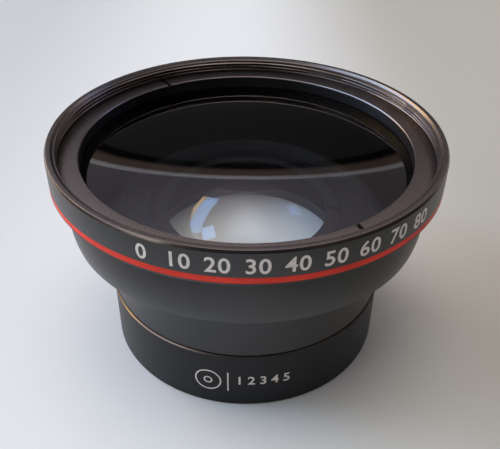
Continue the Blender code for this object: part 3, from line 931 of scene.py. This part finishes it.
def number(shape, text, height, radius, azimuth, base, marks):
    """A number in plain bold numerals, centred on an azimuth of the cylinder."""
    curve = bpy.data.curves.new("number", "FONT")
    curve.body = text
    curve.size = height / CAPITAL_HEIGHT
    curve.align_x = "CENTER"
    curve.extrude = 1.0
    curve.offset = marks.bold * height
    curve.space_character = LETTER_SPACE
    obj = placed("number", curve)
    bpy.context.view_layer.update()
    mesh = bpy.data.meshes.new_from_object(obj.evaluated_get(bpy.context.evaluated_depsgraph_get()))
    letter = bmesh.new()
    letter.from_mesh(mesh)
    bmesh.ops.remove_doubles(letter, verts=letter.verts, dist=SAME_PLACE)
    wrapped(letter, radius, azimuth, base, marks.film)
    letter.to_mesh(mesh)
    letter.free()
    shape.from_mesh(mesh)
    bpy.data.objects.remove(obj, do_unlink=True)
    bpy.data.meshes.remove(mesh)


def printed(name, shape, body):
    mesh = bpy.data.meshes.new(name)
    bmesh.ops.recalc_face_normals(shape, faces=shape.faces)
    shape.to_mesh(mesh)
    shape.free()
    obj = placed(name, mesh)
    mesh.materials.append(materials["ink"])
    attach(obj, body)
    return obj


class LENS_OT_marks(bpy.types.Operator):
    """Plain numbers on the band, and a ring mark, an index line and a short scale on the macro barrel"""

    bl_idname = "lens.marks"
    bl_label = "Printed marks"

    def execute(self, context):
        marks = context.scene.lens_marks
        radius = context.scene.lens_rim.radius
        band = bmesh.new()
        for index in range(9):
            azimuth = BAND_START + BAND_STEP * index
            number(band, str(10 * index), marks.digit, radius, azimuth, BAND_FOOT, marks)
        printed("band_numbers", band, WIDE)
        radius = radius_of("macro_barrel")
        index_marks = bmesh.new()
        for reach in (marks.dial, marks.dial / 3):
            rings = [arc((0.0, 0.0), size, 0, 360, GLASS_STEPS)[:-1] for size in (reach, reach - marks.line)]
            stamp(index_marks, *rings)
        wrapped(index_marks, radius, DIAL_AZIMUTH, DIAL_HEIGHT, marks.film)
        line = bmesh.new()
        half = marks.line / 2
        stamp(line, [(-half, 0.0), (half, 0.0), (half, marks.tick), (-half, marks.tick)])
        wrapped(line, radius, TICK_AZIMUTH, TICK_FOOT, marks.film)
        mesh = bpy.data.meshes.new("line")
        line.to_mesh(mesh)
        line.free()
        index_marks.from_mesh(mesh)
        for index in range(5):
            azimuth = SCALE_START + SCALE_STEP * index
            number(index_marks, str(index + 1), marks.small_digit, radius, azimuth, SCALE_FOOT, marks)
        printed("index_marks", index_marks, MACRO)
        return {"FINISHED"}


# ---- stage


def grey(value):
    return (value, value, value, 1.0)


# Room light, as factors on a ramp: from the ground to the ceiling, then from the window side to the dark side
ROOM_LEVELS = (
    (0.0, grey(0.13)),
    (0.35, grey(0.17)),
    (0.62, (0.26, 0.26, 0.28, 1.0)),
    (0.75, (0.46, 0.46, 0.50, 1.0)),
    (0.90, (0.86, 0.86, 0.88, 1.0)),
    (1.0, (4.00, 4.00, 3.96, 1.0)),
)
ROOM_SIDES = ((0.0, (1.04, 1.05, 1.07, 1.0)), (0.5, grey(0.90)), (1.0, (0.33, 0.28, 0.22, 1.0)))

# The panel behind the lens, from its surroundings inwards: glow of the wall, bright strip, brown board, gap, face
PANEL_HEIGHT = math.radians(15)
GLOW, STRIP, BOARD, GAP = (2.0, 1.8, 1.8, 1.0), (9.0, 8.6, 8.2, 1.0), (1.60, 1.16, 0.86, 1.0), grey(0.08)
PANEL_BANDS = (
    (0.50, grey(1.0)),
    (0.68, GLOW),
    (0.8940, GLOW),
    (0.8948, STRIP),
    (0.8975, STRIP),
    (0.8995, BOARD),
    (0.9135, BOARD),
    (0.9150, GAP),
    (0.9270, GAP),
    (0.9300, grey(0.36)),
)

# The darker patch before the lens, from its surroundings inwards
PATCH_HEIGHT = math.radians(42)
PATCH_BANDS = ((0.80, grey(1.0)), (0.88, grey(0.30)))


class LENS_OT_stage(bpy.types.Operator):
    """Pale floor with painted light and shade, soft lamps and the camera at the photograph's angle"""

    bl_idname = "lens.stage"
    bl_label = "Stage"

    def execute(self, context):
        colours = context.scene.lens_finishes
        made, tree = empty_material("Pale laminate")
        place = add(tree, "ShaderNodeTexCoord").outputs["Object"]
        split = add(tree, "ShaderNodeSeparateXYZ", None, Vector=place)
        settings = {"From Min": -FLOOR_REACH, "From Max": FLOOR_REACH}
        side = add(tree, "ShaderNodeMapRange", settings, Value=split.outputs["X"])
        # The floor's colour is painted light and shade: a painted pool of light round the lens, and painted shade
        # towards both sides.
        tones = (colours.floor_cool_painted_shade, colours.floor_middle_painted_light, colours.floor_warm_painted_shade)
        stops = list(zip((0.0, 0.46, 0.84), map(linear, tones)))
        tone = add(tree, "ShaderNodeValToRGB", {"stops": stops}, Fac=side.outputs["Result"])
        tone.color_ramp.interpolation = "EASE"
        shader = add(tree, "ShaderNodeBsdfPrincipled", {"Roughness": 0.5}, Base_Color=tone.outputs["Color"])
        bpy.ops.mesh.primitive_plane_add(size=6.0, location=(0.0, 0.0, -0.02 * MM))
        floor = context.object
        floor.name = "floor"
        floor.data.materials.append(surfaced(made, shader))

        context.scene.world = self.room()
        for lamp in LAMPS:
            self.lamp(*lamp)

        camera = placed("camera", bpy.data.cameras.new("camera"))
        camera.data.sensor_width = SENSOR
        camera.data.lens = FOCAL_PIXELS / IMAGE_WIDTH * SENSOR
        camera.data.clip_start = 0.005
        yaw, pitch, roll = CAMERA_TURN
        forward = Vector((math.sin(yaw) * math.cos(pitch), math.cos(yaw) * math.cos(pitch), -math.sin(pitch)))
        right = Vector((math.cos(yaw), -math.sin(yaw), 0.0))
        up = right.cross(forward)
        across = math.cos(roll) * right + math.sin(roll) * up
        upward = -math.sin(roll) * right + math.cos(roll) * up
        turn = Matrix((across, upward, -forward)).transposed().to_4x4()
        camera.matrix_world = Matrix.Translation(CAMERA_PLACE) @ turn
        context.scene.camera = camera
        context.scene.view_settings.view_transform = "Standard"
        return {"FINISHED"}

    def room(self):
        """Room light: pale ceiling, dimmer walls, a dark panel behind the lens and a darker patch before it."""
        world = bpy.data.worlds.new("Room")
        world.use_nodes = True
        tree = world.node_tree
        tree.nodes.clear()
        way = add(tree, "ShaderNodeTexCoord").outputs["Generated"]
        split = add(tree, "ShaderNodeSeparateXYZ", None, Vector=way)
        levels = add(tree, "ShaderNodeValToRGB", {"stops": ROOM_LEVELS}, Fac=split.outputs["Z"])
        side = add(tree, "ShaderNodeMapRange", {"From Min": -0.9, "From Max": 0.9}, Value=split.outputs["X"])
        tones = add(tree, "ShaderNodeValToRGB", {"stops": ROOM_SIDES}, Fac=side.outputs["Result"])
        product = {"data_type": "RGBA", "blend_type": "MULTIPLY", 0: 1.0}
        walls = add(tree, "ShaderNodeMix", product, i6=levels.outputs["Color"], i7=tones.outputs["Color"])
        middle = (0.0, math.cos(PANEL_HEIGHT), math.sin(PANEL_HEIGHT))
        near = add(tree, "ShaderNodeVectorMath", {"operation": "DOT_PRODUCT", 1: middle}, i0=way)
        panel = add(tree, "ShaderNodeValToRGB", {"stops": PANEL_BANDS}, Fac=near.outputs["Value"])
        front = add(tree, "ShaderNodeMix", product, i6=walls.outputs[2], i7=panel.outputs["Color"])
        middle = (0.0, -math.cos(PATCH_HEIGHT), math.sin(PATCH_HEIGHT))
        facing = add(tree, "ShaderNodeVectorMath", {"operation": "DOT_PRODUCT", 1: middle}, i0=way)
        patch = add(tree, "ShaderNodeValToRGB", {"stops": PATCH_BANDS}, Fac=facing.outputs["Value"])
        room = add(tree, "ShaderNodeMix", product, i6=front.outputs[2], i7=patch.outputs["Color"])
        light = add(tree, "ShaderNodeBackground", None, Color=room.outputs[2])
        add(tree, "ShaderNodeOutputWorld", None, Surface=light.outputs[0])
        return world

    def lamp(self, name, way, size, power, colour):
        """A soft rectangular lamp, by its bearing from the back of the stage and its height in degrees."""
        bearing, height = (math.radians(angle) for angle in way)
        data = bpy.data.lights.new(name, "AREA")
        data.shape = "RECTANGLE"
        data.size, data.size_y = size
        data.energy = power
        data.color = linear(colour)[:3]
        obj = placed(name, data)
        aim = Vector((math.sin(bearing) * math.cos(height), math.cos(bearing) * math.cos(height), math.sin(height)))
        obj.location = aim * LAMP_DISTANCE
        obj.rotation_euler = (-aim).to_track_quat("-Z", "Y").to_euler()


OPERATORS = (
    LENS_OT_front_ring,
    LENS_OT_red_ring,
    LENS_OT_front_retaining_ring,
    LENS_OT_front_glass,
    LENS_OT_main_barrel,
    LENS_OT_inner_pieces,
    LENS_OT_macro_unit,
    LENS_OT_marks,
    LENS_OT_stage,
)


class LENS_PT_panel(bpy.types.Panel):
    """Lists the pieces, their sizes and their colours"""

    bl_label = "Conversion lens"
    bl_idname = "LENS_PT_panel"
    bl_space_type = "VIEW_3D"
    bl_region_type = "UI"
    bl_category = "Lens"

    def draw(self, context):
        for operator in OPERATORS:
            self.layout.operator(operator.bl_idname)
        for name, group in GROUPS.items():
            box = self.layout.box()
            box.label(text=group.__doc__)
            for key in group.__annotations__:
                box.prop(getattr(context.scene, name), key)


def register():
    for group in GROUPS.values():
        bpy.utils.register_class(group)
    for name, group in GROUPS.items():
        setattr(bpy.types.Scene, name, bpy.props.PointerProperty(type=group))
    for operator in OPERATORS:
        bpy.utils.register_class(operator)
    bpy.utils.register_class(LENS_PT_panel)


def unregister():
    bpy.utils.unregister_class(LENS_PT_panel)
    for operator in reversed(OPERATORS):
        bpy.utils.unregister_class(operator)
    for name in GROUPS:
        delattr(bpy.types.Scene, name)
    for group in reversed(list(GROUPS.values())):
        bpy.utils.unregister_class(group)


def main():
    register()
    make_materials(bpy.context.scene.lens_finishes)
    for operator in OPERATORS:
        group, call = operator.bl_idname.split(".")
        getattr(getattr(bpy.ops, group), call)()


if __name__ == "__main__":
    main()
